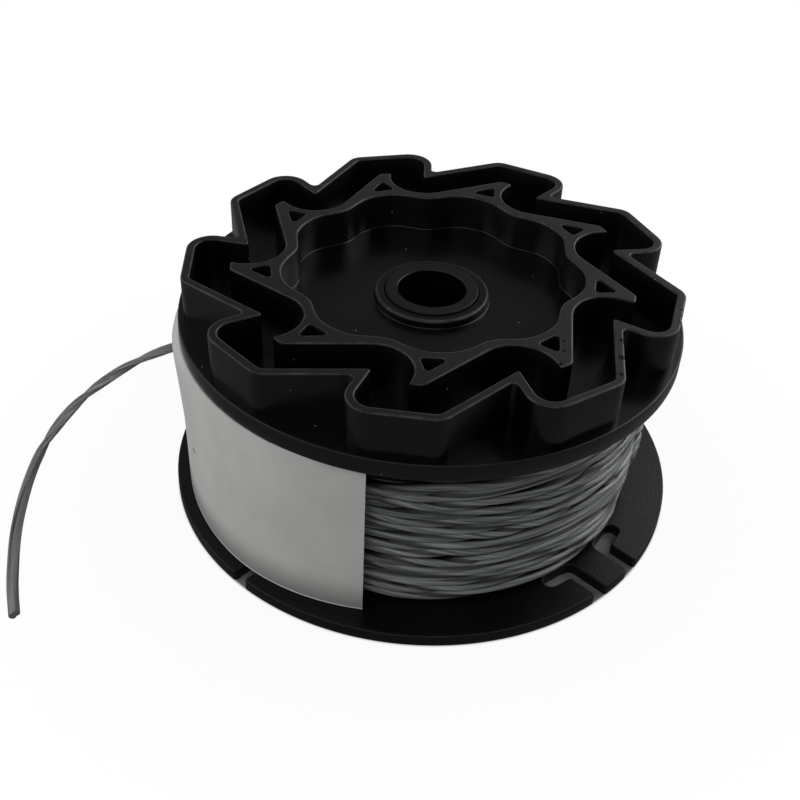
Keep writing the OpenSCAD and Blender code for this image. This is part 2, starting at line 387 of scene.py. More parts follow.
@dataclass(frozen=True)
class TwistedNylonLine(Finish):
    """Extruded nylon monofilament: cloudy, satin, with faint streaks drawn out along the line."""

    roughness: float = 0.32
    roughness_spread: Pair = (0.08, 0.1)
    streak_mm: float = 36.0
    streaks_round: float = 2.2
    streak_depth_mm: float = 0.02
    pale_colour: str = "#aaadae"
    # Painted shade: its colour, how far between the turns it reaches, and how much the grooves and the loose end
    # take.
    painted_shade_colour: str = "#101112"
    crevice_mm: Pair = (-0.2, 0.6)
    groove_to: float = 0.1
    groove_share: float = 0.3
    loose_share: float = 0.9
    ior: float = 1.53

    def surface(self, tree: NodeTree) -> dict[str, object]:
        """Adds streaks along the line, from the attributes that its sweep stores, and painted shade in its hollows.

        Args:
            tree: The material's tree.

        Returns:
            The shader's inputs by name.
        """
        add = partial(node, tree)
        along, around, turn_r = (add("Attribute", attribute_name=name).outputs["Fac"]
                                 for name in ("along", "around", "turn_radius"))
        wound = add("Math MULTIPLY", around, math.tau)
        unrolled = add("CombineXYZ", add("Math DIVIDE", along, self.streak_mm * MM), add("Math COSINE", wound),
                       add("Math SINE", wound))
        streaks = add("TexNoise", unrolled, self.streaks_round, 4.0)
        strong = add("MapRange", streaks, *NOISE_SPAN)
        bare = add("Mix RGBA", strong, self.colour, self.pale_colour)
        # Painted shade darkens the crevices between turns and the grooves between the strands, least on the loose
        # end.
        level = add("VectorMath MULTIPLY", add("TexCoord").outputs["Object"], (1, 1, 0))
        axis_off = add("VectorMath LENGTH", level)
        proud = add("Math SUBTRACT", axis_off, turn_r)
        outside = add("MapRange SMOOTHSTEP", proud, *metres(self.crevice_mm))
        strands = add("Math COSINE", add("Math MULTIPLY", wound, 2.0))
        ridge = add("MapRange SMOOTHSTEP", strands, -1.0, self.groove_to, self.groove_share)
        unshaded_wound = add("Math MULTIPLY", outside, ridge)
        loose_unshaded = add("Math MULTIPLY", add("Math LESS_THAN", turn_r, MM), self.loose_share)
        unshaded = add("Math MAXIMUM", unshaded_wound, loose_unshaded)
        less, more = self.roughness_spread
        return {"Base Color": add("Mix RGBA", unshaded, self.painted_shade_colour, bare),
                "Specular IOR Level": add("MapRange", unshaded, 0.0, 1.0, *SPECULAR),
                "Roughness": add("MapRange", streaks, *NOISE_SPAN, self.roughness - less, self.roughness + more),
                "Normal": add("Bump", named={"Height": streaks, "Distance": self.streak_depth_mm * MM}),
                "IOR": self.ior}


@dataclass(frozen=True)
class UncoatedPaper(Finish):
    """Uncoated white paper: matt, with a soft cloudy formation and a few small marks."""

    fibre_mm: float = 0.5
    fibre_depth_mm: float = 0.01
    fibre_strength: float = 0.6
    cloud_mm: float = 6.0
    shade_colour: str = "#cfcfcc"
    # Painted shade over the lower margin, and a painted highlight along the cut lower edge.
    margin_shade_mm: Pair = (1.5, 8.0)
    margin_shade_share: float = 0.46
    edge_highlight_mm: Pair = (2.12, 2.28)
    edge_highlight_share: float = 1.25
    mark_colour: str = "#6b6b66"
    marks: tuple[Spot, ...] = ()
    roughness: float = 0.72
    ior: float = 1.45

    def surface(self, tree: NodeTree) -> dict[str, object]:
        """Adds the cloudy formation, the fibres, painted shade on the lower margin, a painted highlight on its cut
        edge, and a few marks.

        Args:
            tree: The material's tree.

        Returns:
            The shader's inputs by name.
        """
        add = partial(node, tree)
        at = add("TexCoord").outputs["Object"]
        clouds = add("TexNoise", at, 1 / (self.cloud_mm * MM), 5.0)
        fibres = add("TexNoise", at, 1 / (self.fibre_mm * MM), 2.0)
        sheet = add("Mix RGBA", clouds, self.colour, self.shade_colour)
        height = add("SeparateXYZ", at).outputs["Z"]
        # Painted shade darkens the paper towards its lower edge.
        unshaded = add("MapRange SMOOTHSTEP", height, *metres(self.margin_shade_mm), self.margin_shade_share, 1.0)
        # A painted highlight brightens the cut lower edge itself.
        cut = add("MapRange", height, *metres(self.edge_highlight_mm), self.edge_highlight_share, 0.0)
        light = add("Math MAXIMUM", unshaded, cut)
        margin_shaded = add("Mix RGBA", 1.0, sheet, light, blend_type="MULTIPLY")
        marked = add("Mix RGBA", spots(tree, self.marks, fibres), margin_shaded, self.mark_colour)
        bump = add("Bump", named={"Height": fibres, "Distance": self.fibre_depth_mm * MM,
                                  "Strength": self.fibre_strength})
        return {"Base Color": marked, "Normal": bump, "Roughness": self.roughness, "IOR": self.ior}


class Finishes(Enum):
    """The part's finishes."""

    # Polished tool: a deep black with clear reflections, and thin bright edges that are partly a painted highlight.
    UPPER = MouldedNylon("black moulded nylon, polished tool", "#030304", roughness=0.24, grain_mm=0.5,
                         grain_depth_mm=0.005, mottle=0.05,
                         nicks=((24.8, -16.1, 36.2, 0.36), (25.0, -16.7, 36.2, 0.20), (24.4, -20.0, 36.2, 0.42),
                                (24.7, -20.2, 36.2, 0.22), (24.0, -23.6, 36.2, 0.34), (33.8, -8.0, 36.2, 0.22),
                                (33.6, -9.4, 36.2, 0.30), (33.1, -11.1, 36.2, 0.34), (17.3, -17.2, 36.2, 0.20),
                                (17.2, -19.4, 36.2, 0.26), (16.6, -22.3, 36.2, 0.20)))
    # Spark-eroded tool: a fine matt grain that greys where light grazes it.
    LOWER = MouldedNylon("black moulded nylon, fine grain", "#020203", roughness=0.35, grain_mm=0.3,
                         grain_depth_mm=0.035, dust_mm=5.0, worn_highlight_colour="#111213", ior=1.38)
    # Drawn and twisted: cloudy grey, with a satin light along every ridge.
    LINE = TwistedNylonLine("grey twisted nylon monofilament", "#494d4e")
    # The same line deeper in the winding, painted darker as shade, since little light reaches there.
    DEEP_LINE = TwistedNylonLine("grey nylon line, painted in shade deep in the winding", "#16181a", pale_colour="#1d2022")
    # Plain sheet: white, without any gloss.
    PAPER = UncoatedPaper("uncoated white paper", "#e6e6e3", marks=(
        (-32.19, -17.08, 13.17, 0.34), (-22.9, -28.4, 22.6, 0.25)))


# ---- shapes


def directions(points: list[Vector]) -> list[tuple[Vector, Vector]]:
    """Returns the directions of a closed outline's sides, before and after each of its points."""
    sides = [(following - here).normalized() for here, following in zip(points, points[1:] + points[:1])]
    return list(zip(sides[-1:] + sides[:-1], sides))


def mitre(before: Vector, after: Vector, out: float) -> Vector:
    """Returns the move of a corner whose sides, of these directions, both move out by this much."""
    normals = Vector((before.y, -before.x)), Vector((after.y, -after.x))
    return (normals[0] + normals[1]) * out / (1 + normals[0].dot(normals[1]))


def arc(centre: Vector, radius: float, start: float, end: float, steps: int) -> list[Vector]:
    """Returns the points of an arc from one bearing to another."""
    return [centre + polar(radius, start + (end - start) * i / steps) for i in range(steps + 1)]


class Shape(ABC):
    """A closed outline in plan that can be drawn at any distance from itself."""

    @abstractmethod
    def loop(self, out: float) -> list[Vector]:
        """Returns the outline's points in plan, moved out by this many millimetres."""


@dataclass(frozen=True)
class Axis(Shape):
    """The spool's axis, round which a section is turned."""

    points: int = 192

    def loop(self, out: float) -> list[Vector]:
        """Returns the points of a circle of this radius."""
        return [polar(out, 360 * i / self.points) for i in range(self.points)]


@dataclass(frozen=True)
class DrawnShape(Shape):
    """An outline given by close points, anticlockwise, and moved along its own normals."""

    points: list[Vector]

    def loop(self, out: float) -> list[Vector]:
        """Returns the points, each moved so that its sides stay parallel to themselves."""
        return [here + mitre(*ways, out) for here, ways in zip(self.points, directions(self.points))]


@dataclass(frozen=True)
class CorneredShape(Shape):
    """An outline of straight sides, anticlockwise, given by each corner's place in plan and its rounding."""

    corners: list[tuple[Vector, float]]
    arc_steps: int

    def sides(self) -> list[tuple[Vector, Vector]]:
        """Returns the directions of the sides before and after each corner."""
        return directions([at for at, _ in self.corners])

    def moved(self, out: float) -> "CorneredShape":
        """Moves every side outwards, and fits the roundings to that.

        Args:
            out: How far the sides move, in millimetres, or inwards if it is negative.

        Returns:
            The new outline.
        """
        made = []
        for (at, rounding), (before, after) in zip(self.corners, self.sides()):
            way = 1 if before.cross(after) > 0 else -1
            made.append((at + mitre(before, after, out), max(0.0, rounding + way * out)))
        return replace(self, corners=made)

    def rounded(self, least: float) -> "CorneredShape":
        """Rounds every inner corner.

        Args:
            least: The least rounding.

        Returns:
            The new outline.
        """
        return replace(self, corners=[
            (at, max(rounding, least) if before.cross(after) < 0 else rounding)
            for (at, rounding), (before, after) in zip(self.corners, self.sides())])

    def loop(self, out: float) -> list[Vector]:
        """Draws an arc at every corner, with one number of steps whatever its rounding.

        Args:
            out: How far the outline is moved out.

        Returns:
            The outline's points.
        """
        shape = self.moved(out) if out else self
        made = []
        for (at, rounding), (before, after) in zip(shape.corners, shape.sides()):
            turn = math.atan2(before.cross(after), before.dot(after))
            start = at - before * (rounding * math.tan(abs(turn) / 2))
            way = 1 if turn > 0 else -1
            centre = start + Vector((-before.y, before.x)) * rounding * way
            made += [centre + Matrix.Rotation(turn * step / self.arc_steps, 2) @ (start - centre)
                     for step in range(self.arc_steps + 1)]
        return made


class Side(Enum):
    """The side of an outline on which the material lies."""

    INSIDE = 1
    OUTSIDE = -1


class Shell:
    """One moulding as a closed mesh, made of upright walls and the flats between them."""

    same_point: float = 1e-5
    merged: float = 1e-4

    def __init__(self) -> None:
        """Starts an empty shell."""
        self.mesh = bmesh.new()
        self.wear_and_highlight = self.mesh.verts.layers.float.new("wear_and_highlight")

    def face(self, corners: Ring) -> None:
        """Adds a face, unless it has no area or is there already.

        Args:
            corners: Its vertices, which may repeat.
        """
        distinct = list(dict.fromkeys(corners))
        if len(distinct) > 2 and not self.mesh.faces.get(distinct):
            self.mesh.faces.new(distinct)

    def wall(self, shape: Shape, side: Side, section: Section) -> tuple[Ring, Ring]:
        """Draws a wall through a section's points.

        Args:
            shape: The outline that the wall follows.
            side: Where the material lies.
            section: For each step up the wall, how far it stands out of the material, its height, and its
            share of wear and of painted edge highlight, if it has one.

        Returns:
            The vertices of the lowest and of the highest step.
        """
        rings = []
        for out, height, *wear_and_highlight in section:
            ring, last = [], None
            for point in shape.loop(out * side.value):
                if last is None or (point - last).length > self.same_point:
                    vertex = self.mesh.verts.new((*point, height))
                    vertex[self.wear_and_highlight] = wear_and_highlight[0] if wear_and_highlight else 0.0
                    last = point
                ring.append(vertex)
            rings.append(ring)
        for low, high in zip(rings, rings[1:]):
            for quad in zip(low, low[1:] + low[:1], high[1:] + high[:1], high):
                self.face(quad)
        return rings[0], rings[-1]

    def flat(self, *edges: Ring) -> None:
        """Fills the plane between an outer edge and any holes in it.

        Args:
            edges: The outer edge's vertices, and then each hole's.
        """
        rings = [list(dict.fromkeys(edge)) for edge in edges]
        every = [vertex for ring in rings for vertex in ring]
        for triangle in geometry.tessellate_polygon([[vertex.co for vertex in ring] for ring in rings]):
            self.face([every[i] for i in triangle])

    def finished(self, name: str) -> Mesh:
        """Closes the shell and warns of any gap that is left.

        Args:
            name: The mesh's name.

        Returns:
            The finished mesh, in metres.
        """
        bmesh.ops.remove_doubles(self.mesh, verts=self.mesh.verts, dist=self.merged)
        bmesh.ops.dissolve_degenerate(self.mesh, edges=self.mesh.edges, dist=self.same_point)
        open_edges = sum(1 for edge in self.mesh.edges if not edge.is_manifold)
        if open_edges:
            log.warning("%s has %d open edges", name, open_edges)
        return closed(name, self.mesh)


def quarter(steps: int) -> list[float]:
    """Returns the turns, in radians, through a quarter circle."""
    return [math.pi / 2 * i / steps for i in range(steps + 1)]


def top_edge(height: float, radius: float, steps: int = EDGE_STEPS, flat: float = 0.0,
             wear_and_highlight: float = 1.0) -> Section:
    """Returns a section over a rounded top edge.

    Args:
        height: The upper face's height.
        radius: The edge's rounding.
        steps: The rounding's steps.
        flat: The upper face's wear.
        wear_and_highlight: The edge's own wear, and over a half its painted highlight.

    Returns:
        The section's points, from the wall to the upper face.
    """
    made = [(radius * (math.cos(turn) - 1), height + radius * (math.sin(turn) - 1), wear_and_highlight if turn else WALL_WEAR)
            for turn in quarter(steps)]
    return made + [(-radius - TOP_RIM, height, flat)]


def bottom_edge(height: float, radius: float) -> Section:
    """Returns a section round a bottom edge, from below."""
    return [(out, 2 * height - z) for out, z, _ in reversed(top_edge(height, radius))]


def foot(height: float, radius: float) -> Section:
    """Returns a section up the fillet where a wall stands on a flat."""
    return [(radius + FOOT_RIM, height)] + [
        (radius * (1 - math.sin(turn)), height + radius * (1 - math.cos(turn))) for turn in quarter(EDGE_STEPS)]


def at_radius(radius: float, section: Section) -> Section:
    """Moves a section out to a radius, to be turned round the axis."""
    return [(radius + out, *rest) for out, *rest in section]


# ---- cam moulding


@dataclass
class CamMoulding:
    """The upper moulding: a flange with a track of nine lobes between two upright walls."""

    lobes: int = 9
    rim_r: float = 36.0
    rim_edges: Pair = (0.1, 0.2)
    # The rim's top edge: its wear, and over a half a painted highlight.
    rim_wear_and_highlight: float = 0.55
    under: float = 27.4
    flange_top: float = 29.9
    wall_top: float = 36.2
    pocket_floor: float = 30.6
    boss_top: float = 31.85
    boss_r: float = 8.2
    boss_edge_r: float = 0.4
    hole_r: float = 6.75
    hole_lead: float = 0.12
    seat_r: float = 29.05
    seat_top: float = 28.2
    track_bearing: float = -104.6
    tip_r: float = 26.6
    # A shoulder's and a corner's radius, bearing from the lobe's tip, and rounding.
    shoulder: Triple = (34.35, -0.9, 2.35)
    corner: Triple = (33.95, 17.9, 1.5)
    channel_w: float = 5.25
    wall_t: float = 1.25
    notch_round: float = 0.7
    tip_round: float = 0.35
    tooth_tip_round: float = 0.3
    tooth_heel_round: float = 1.0
    track_arc_steps: int = 10
    pocket_r: float = 20.6
    pocket_wave: float = 0.88
    pocket_second_wave: float = 0.14
    wave_turn: float = 18.9
    pocket_steps: int = 270
    core_out_depth: float = 5.0
    core_out_turn: float = 17.0
    core_out: Triple = (22.91, 25.91, 4.8)
    core_out_round: float = 0.45
    core_out_edge_r: float = 0.15
    edge_r: float = 0.24
    pocket_edge_r: float = 0.3
    foot_r: float = 0.2
    flat_wear: float = 0.5

    def track(self, tip: float, shoulder: float, corner: float) -> CorneredShape:
        """Returns the channel's outer side, lobe by lobe.

        Args:
            tip: The rounding at each tip.
            shoulder: The rounding at each shoulder.
            corner: The rounding at each corner.

        Returns:
            The outline.
        """
        lobe = ((self.tip_r, 0.0, tip), (*self.shoulder[:2], shoulder), (*self.corner[:2], corner))
        return CorneredShape([
            (polar(radius, self.track_bearing + k * 360 / self.lobes + turn), rounding)
            for k in range(self.lobes) for radius, turn, rounding in lobe], self.track_arc_steps)

    def pocket_side(self) -> DrawnShape:
        """Draws the pocket's waved side.

        Returns:
            The outline.
        """
        made = []
        for i in range(self.pocket_steps):
            bearing = 360 * i / self.pocket_steps
            wave = math.radians(self.lobes * (bearing - self.track_bearing - self.wave_turn))
            wave_out = math.cos(wave) - self.pocket_second_wave * math.cos(2 * wave)
            made.append(polar(self.pocket_r + self.pocket_wave * wave_out, bearing))
        return DrawnShape(made)

    def core_out_shape(self, k: int) -> CorneredShape:
        """Returns the three-cornered hollow in a tooth.

        Args:
            k: The tooth's number.

        Returns:
            The hollow's outline.
        """
        inner, outer, half = self.core_out
        middle = self.track_bearing + self.core_out_turn + k * 360 / self.lobes
        places = polar(inner, middle - half), polar(outer, middle - half / 2), polar(inner, middle + half)
        return CorneredShape([(at, self.core_out_round) for at in places], arc_steps=4)

    def build(self) -> Mesh:
        """Builds the moulding: rim and underside, boss, both walls, the pocket and the core-outs.

        Returns:
            The finished mesh.
        """
        shell = Shell()
        track = self.track(self.tip_round, self.shoulder[2], self.corner[2])
        side = [(0.0, self.flange_top)] + top_edge(self.wall_top, self.edge_r, flat=self.flat_wear)
        outer = shell.wall(track.moved(self.wall_t).rounded(self.notch_round), Side.INSIDE, side)
        inner = shell.wall(track, Side.OUTSIDE, side)
        teeth = self.track(0.0, self.channel_w + self.tooth_tip_round, self.channel_w + self.tooth_heel_round)
        tooth_side = shell.wall(teeth.moved(-self.channel_w), Side.INSIDE, side)
        pocket = shell.wall(self.pocket_side(), Side.OUTSIDE,
                            foot(self.pocket_floor, self.foot_r)
                            + top_edge(self.wall_top, self.pocket_edge_r, flat=self.flat_wear))
        hollows = []
        for k in range(self.lobes):
            hollow = shell.wall(self.core_out_shape(k), Side.OUTSIDE,
                                [(0.0, self.wall_top - self.core_out_depth)]
                                + top_edge(self.wall_top, self.core_out_edge_r, steps=2, flat=self.flat_wear))
            shell.flat(hollow[0])
            hollows.append(hollow[1])
        lower, upper = self.rim_edges
        hole_edge = (self.hole_r, self.boss_top - self.hole_lead)
        rim = shell.wall(Axis(), Side.INSIDE,
                         [hole_edge, (self.hole_r, self.seat_top), (self.seat_r, self.seat_top),
                          (self.seat_r, self.under)]
                         + at_radius(self.rim_r, bottom_edge(self.under, lower)
                                     + top_edge(self.flange_top, upper, wear_and_highlight=self.rim_wear_and_highlight)))
        boss = shell.wall(Axis(), Side.INSIDE,
                          at_radius(self.boss_r, foot(self.pocket_floor, self.foot_r)
                                    + top_edge(self.boss_top, self.boss_edge_r, steps=4))
                          + [(self.hole_r + self.hole_lead, self.boss_top), hole_edge])
        shell.flat(rim[1], outer[0])
        shell.flat(inner[0], tooth_side[0])
        shell.flat(pocket[0], boss[0])
        shell.flat(outer[1], inner[1])
        shell.flat(tooth_side[1], pocket[1], *hollows)
        return shell.finished("cam_moulding")

    def dress(self, finish: Material) -> None:
        """Places the moulding in its finish, instead of its plain solid."""
        settle(place("cam_moulding", self.build(), finish), "cam_plate")


# ---- spool moulding


@dataclass
class SpoolMoulding:
    """The lower moulding: a slotted flange, the hollow drum, the hub tube, and the ribs under its web."""

    rim_r: float = 38.3
    rim_edges: Pair = (0.16, 0.2)
    flange_t: float = 1.8
    drum_r: float = 29.0
    drum_inner_r: float = 27.2
    top: float = 28.2
    web_under: float = 26.4
    hub_r: float = 7.6
    hub_low: float = 2.0
    tip_r: float = 6.7
    tip_top: float = 32.15
    tip_edge_r: float = 0.2
    bore_r: float = 4.92
    bore_lead: float = 0.12
    chamfer: float = 0.2
    fillet: float = 0.6
    # The fillet's middle, out from its wall and down from its flat.
    fillet_middle: Pair = (0.2, 0.18)
    catch_bearing: float = -41.0
    tab_w: float = 5.0
    hook_w: float = 2.2
    hook_r: float = 31.7
    hook_turn: float = 6.5
    # Where the hook's outer side leaves its arc, in degrees, and eases into the slot's far side.
    hook_leave: float = 0.8
    hook_ease: tuple[Pair, ...] = ((0.14, 0.1), (0.4, 0.0))
    plain_bearing: float = -129.0
    plain_w: float = 1.9
    plain_r: float = 32.425
    mouth_round: float = 0.45
    ribs: int = 6
    rib_t: float = 1.4
    rib_h: float = 5.0
    # How far a rib runs on into the drum and the hub together, and up into the web.
    rib_sunk: Pair = (0.8, 0.3)
    rib_draft: Pair = (0.35, 0.15)
    rib_round: float = 0.05

    def mouth(self, y: float, way: int) -> list[Vector]:
        """Returns the rounded corner between the rim and a slot's side, on the way into or out of the slot.

        Args:
            y: The side's distance from the slot's own radius.
            way: 1 on the way in and -1 on the way out.

        Returns:
            The corner's points, in order.
        """
        centre_y = y - way * self.mouth_round
        centre = Vector((math.sqrt((self.rim_r - self.mouth_round) ** 2 - centre_y ** 2), centre_y))
        on_rim = math.degrees(math.atan2(centre.y, centre.x))
        return arc(centre, self.mouth_round, on_rim, way * 90, steps=4)[::way]

    def plain_slot(self) -> list[Vector]:
        """Draws a plain slot's side, about +X.

        Returns:
            Its points, from rim to rim.
        """
        half = self.plain_w / 2
        end = Vector((self.plain_r + half, 0))
        return self.mouth(-half, 1) + arc(end, half, 270, 90, steps=8) + self.mouth(half, -1)

    def hooked_slot(self) -> list[Vector]:
        """Draws the side of the hooked slot after the tab, whose middle is +X.

        Returns:
            Its points, from rim to rim.
        """
        half = self.hook_w / 2
        middle = self.tab_w / 2 + half
        path_r = self.hook_r + half
        start = math.degrees(math.asin(middle / path_r))
        end = start + self.hook_turn
        outer_r = path_r + half
        far_y = middle + half
        join = math.degrees(math.asin(far_y / outer_r))
        corner_x = math.sqrt(outer_r ** 2 - far_y ** 2)
        origin = Vector((0, 0))
        turn_in = arc(Vector((path_r, middle)), half, 270, 180 + start, steps=5)
        inner = arc(origin, self.hook_r, start, end, steps=6)
        nose = arc(polar(path_r, end), half, 180 + end, end, steps=8)
        back = arc(origin, outer_r, end, join + self.hook_leave, steps=5)
        ease = [Vector((corner_x + x, far_y + y)) for x, y in self.hook_ease]
        return (self.mouth(self.tab_w / 2, 1) + turn_in + inner[1:-1] + nose + back[1:] + ease
                + self.mouth(far_y, -1))

    def flange_shape(self) -> DrawnShape:
        """Draws the flange with its two pairs of hooked slots and its two plain ones.

        Returns:
            The outline.
        """
        after = self.hooked_slot()
        before = [Vector((p.x, -p.y)) for p in reversed(after)]
        cuts = []
        for side in (0, 180):
            for points, bearing in ((before, self.catch_bearing), (after, self.catch_bearing),
                                    (self.plain_slot(), self.plain_bearing)):
                spin = Matrix.Rotation(math.radians(bearing + side), 2)
                turned = [spin @ p for p in points]
                cuts.append((math.degrees(math.atan2(turned[0].y, turned[0].x)) % 360, turned))
        cuts.sort(key=lambda cut: cut[0])
        made = []
        for (_, cut), (following, _) in zip(cuts, cuts[1:] + cuts[:1]):
            leave = math.degrees(math.atan2(cut[-1].y, cut[-1].x))
            sweep = (following - leave) % 360
            steps = max(2, round(sweep / 2))
            made += cut + arc(Vector((0, 0)), self.rim_r, leave, leave + sweep, steps)[1:-1]
        return DrawnShape(made)

    def build(self) -> Mesh:
        """Builds the flange, the drum, the web and the hub tube as one closed shell.

        Returns:
            The finished mesh.
        """
        shell = Shell()
        lower, upper = self.rim_edges
        lead, cut, fillet, (out, down) = self.bore_lead, self.chamfer, self.fillet, self.fillet_middle
        flange = shell.wall(self.flange_shape(), Side.INSIDE,
                            bottom_edge(0.0, lower) + top_edge(self.flange_t, upper))
        turned = shell.wall(Axis(), Side.INSIDE,
                            [(self.drum_r, self.flange_t), (self.drum_r, self.top), (self.tip_r, self.top)]
                            + at_radius(self.tip_r, top_edge(self.tip_top, self.tip_edge_r))
                            + [(self.bore_r + lead, self.tip_top), (self.bore_r, self.tip_top - lead),
                               (self.bore_r, self.hub_low + lead), (self.bore_r + lead, self.hub_low),
                               (self.hub_r - cut, self.hub_low), (self.hub_r, self.hub_low + cut),
                               (self.hub_r, self.web_under - fillet), (self.hub_r + out, self.web_under - down),
                               (self.hub_r + fillet, self.web_under), (self.drum_inner_r - fillet, self.web_under),
                               (self.drum_inner_r, self.web_under - fillet), (self.drum_inner_r, cut),
                               (self.drum_inner_r + cut, 0.0)])
        shell.flat(flange[1], turned[0])
        shell.flat(flange[0], turned[1])
        return shell.finished("spool_moulding")

    def rib(self) -> Mesh:
        """Builds one rib, which thins towards its lower edge as moulded ribs do.

        Returns:
            The rib's mesh.
        """
        into_walls, into_web = self.rib_sunk
        inset, edge = self.rib_draft
        reach = (self.drum_inner_r - self.hub_r + into_walls) / 2
        middle = (self.drum_inner_r + self.hub_r) / 2
        places = [Vector((middle + x * reach, y * self.rib_t / 2)) for x, y in ((-1, -1), (1, -1), (1, 1), (-1, 1))]
        low = self.web_under - self.rib_h
        shell = Shell()
        ends = shell.wall(CorneredShape([(at, self.rib_round) for at in places], arc_steps=2), Side.INSIDE,
                          [(-inset, low), (-edge, low + edge), (0.0, self.web_under + into_web)])
        for end in ends:
            shell.flat(end)
        return shell.finished("web_rib")

    def rib_ring(self, finish: Material) -> Object:
        """Sets the rib round the hub with Geometry Nodes, as many times as the web has ribs.

        Args:
            finish: The moulding's finish.

        Returns:
            The ribs as one plain mesh object.
        """
        tree, values = new_tree("ribs round the hub", {"Count": self.ribs})
        add = partial(node, tree)
        given = add("NodeGroupInput").outputs
        share = add("Math DIVIDE", add("GeometryNodeInputIndex"), given["Count"])
        spin = add("CombineXYZ", 0.0, 0.0, add("Math MULTIPLY", share, math.tau))
        copies = add("GeometryNodeInstanceOnPoints", add("GeometryNodePoints", given["Count"]),
                     named={"Instance": given["Start"], "Rotation": spin})
        return grown("web_ribs", self.rib(), tree, values, copies, finish)

    def dress(self, finish: Material) -> None:
        """Places the moulding and its ribs, instead of the plain solid."""
        settle(place("spool_moulding", self.build(), finish), "spool_core")
        settle(self.rib_ring(finish))


# ---- line


@dataclass
class TwistedLine:
    """Trimmer line: two round strands drawn as one, with a groove on either side, and twisted.

    In section its radius is mean + swell * cos(2 * angle) - groove * cos(4 * angle), where the swell makes up
    the width. The twist wanders by so many degrees along the line, and slackens after its twisted length.
    """

    width: float = 1.65
    mean: float = 0.685
    groove: float = 0.05
    twist_pitch: float = 24.0
    wander: float = 0.0
    wander_mm: float = 45.0
    slack: float = 0.24
    sides: int = 20

    def sweep(self, tree: NodeTree) -> Node:
        """Adds the nodes that sweep the twisted section along a line of points.

        Args:
            tree: The geometry tree, with its sizes.

        Returns:
            The node that gives the swept line.
        """
        add = partial(node, tree)
        given = add("NodeGroupInput").outputs
        along = add("GeometryNodeSplineParameter").outputs["Length"]
        level = add("VectorMath MULTIPLY", add("GeometryNodeInputPosition"), (1, 1, 0))
        turn_r = add("Math MULTIPLY", add("VectorMath LENGTH", level), given["Wound"])
        path = add("GeometryNodeMeshToCurve", given["Start"])
        for name, value in (("along", along), ("turn_radius", turn_r)):
            path = add("GeometryNodeStoreNamedAttribute", path, named={"Name": name, "Value": value})
        path = add("GeometryNodeSetCurveNormal", path, mode="Z_UP")

        firm = add("Math MINIMUM", along, given["Twisted Length"])
        loose = add("Math MULTIPLY", add("Math SUBTRACT", along, firm), given["Slack"])
        turns = add("Math DIVIDE", add("Math ADD", firm, loose), given["Twist Pitch"])
        turned = add("Math MULTIPLY", turns, math.tau)
        uneven = add("TexNoise", along, 1 / (self.wander_mm * MM), 1.0, noise_dimensions="1D")
        wander = add("Math MULTIPLY", add("Math SUBTRACT", uneven, 0.5), given["Twist Wander"])
        tilt = add("Math ADD", add("Math ADD", turned, wander), given["First Turn"])
        path = add("GeometryNodeSetCurveTilt", path, named={"Tilt": tilt})

        around = add("GeometryNodeSplineParameter").outputs["Factor"]
        ring = add("GeometryNodeStoreNamedAttribute", add("GeometryNodeCurvePrimitiveCircle", given["Sides"]),
                   named={"Name": "around", "Value": around})
        waves = []
        for times, size in ((2, given["Swell"]), (4, given["Groove"])):
            wave = add("Math COSINE", add("Math MULTIPLY", around, times * math.tau))
            waves.append(add("Math MULTIPLY", wave, size))
        reach = add("Math SUBTRACT", add("Math ADD", given["Mean Radius"], waves[0]), waves[1])
        spot = add("VectorMath SCALE", add("GeometryNodeInputPosition"), reach)
        section = add("GeometryNodeSetPosition", ring, named={"Position": spot})
        return add("GeometryNodeCurveToMesh", path, section, named={"Fill Caps": True})

    def swept(self, name: str, path: list[Vector], finish: Material, first_turn: float,
              twisted_length: float = ENDLESS_MM, wound: bool = True) -> Object:
        """Sweeps the line along a path.

        Args:
            name: The piece's name.
            path: The path's points, in millimetres.
            finish: The line's finish.
            first_turn: The section's turn at the start, in degrees.
            twisted_length: The length after which the twist slackens.
            wound: Whether it lies in turns, with painted shade between them.

        Returns:
            The swept piece.
        """
        base = bpy.data.meshes.new(name + "_path")
        base.from_pydata([point * MM for point in path], [(i, i + 1) for i in range(len(path) - 1)], [])
        tree, values = new_tree("twisted line", {
            "Mean Radius": self.mean * MM, "Swell": (self.width / 2 - self.mean + self.groove) * MM,
            "Groove": self.groove * MM, "Twist Pitch": self.twist_pitch * MM,
            "Twist Wander": math.radians(self.wander), "Twisted Length": twisted_length * MM,
            "Slack": self.slack, "First Turn": math.radians(first_turn), "Wound": float(wound),
            "Sides": self.sides})
        piece = grown(name, base, tree, values, self.sweep(tree), finish)
        shade(piece.data, LINE_SHARP_DEGREES)
        return piece


